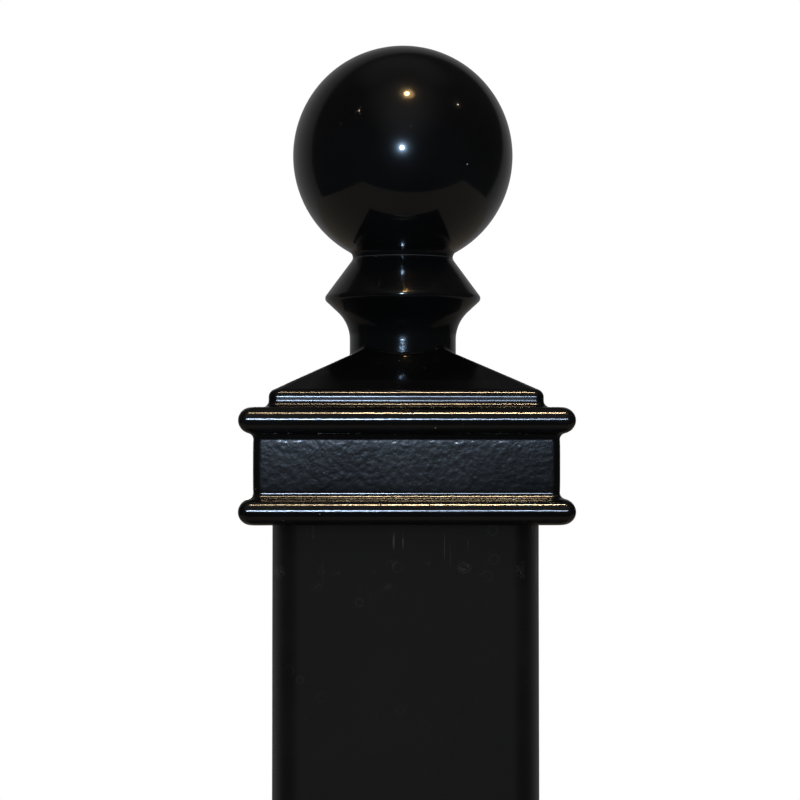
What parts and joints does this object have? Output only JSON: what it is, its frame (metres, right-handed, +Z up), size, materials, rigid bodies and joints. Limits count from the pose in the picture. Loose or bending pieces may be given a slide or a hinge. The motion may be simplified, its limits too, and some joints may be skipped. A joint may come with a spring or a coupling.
{
  "type": "garden post",
  "caption": "Free-standing square garden post with rounded corners, a beaded cast cap, a turned ball finial and a bolt-down foot under a loose cover.",
  "frame": {"origin": "centre of the foot plate's underside, on the ground, on the post's axis", "axes": "+Z up along the post towards the ball, -Y out of the front face, +X to the right seen from the front"},
  "size_m": [0.22, 0.22, 0.9027],
  "materials": {
    "gloss_black": "gloss powder coat on a sand casting, slight orange peel",
    "satin_black": "satin powder coat, fine scratches and rub marks",
    "zinc_steel": "bright zinc plate",
    "dark_screw": "black oxide"
  },
  "bodies": {
    "post": {"post_tube": "satin_black", "base_plate": "satin_black", "foot_weld": "satin_black"},
    "foot_cover": {"base_cover": "satin_black", "base_cover_screws": "dark_screw"},
    "cap": {"cap_casting": "gloss_black", "cap_set_screws": "dark_screw", "tie_nut": "zinc_steel", "tie_washer": "zinc_steel", "tie_lock_washer": "zinc_steel"},
    "finial": {"finial_neck": "gloss_black", "finial_ball": "gloss_black", "tie_rod": "zinc_steel"}
  },
  "joints": [
    {"name": "cap_lift", "type": "slide", "parent": "post", "child": "cap", "axis": [0, 0, 1], "range_m": [0, 0.08]},
    {"name": "finial_turn", "type": "hinge", "parent": "cap", "child": "finial", "pos_m": [0, 0, 0.776], "axis": [0, 0, 1], "continuous": true},
    {"name": "cover_slide", "type": "slide", "parent": "post", "child": "foot_cover", "axis": [0, 0, 1], "range_m": [0, 0.63]}
  ]
}
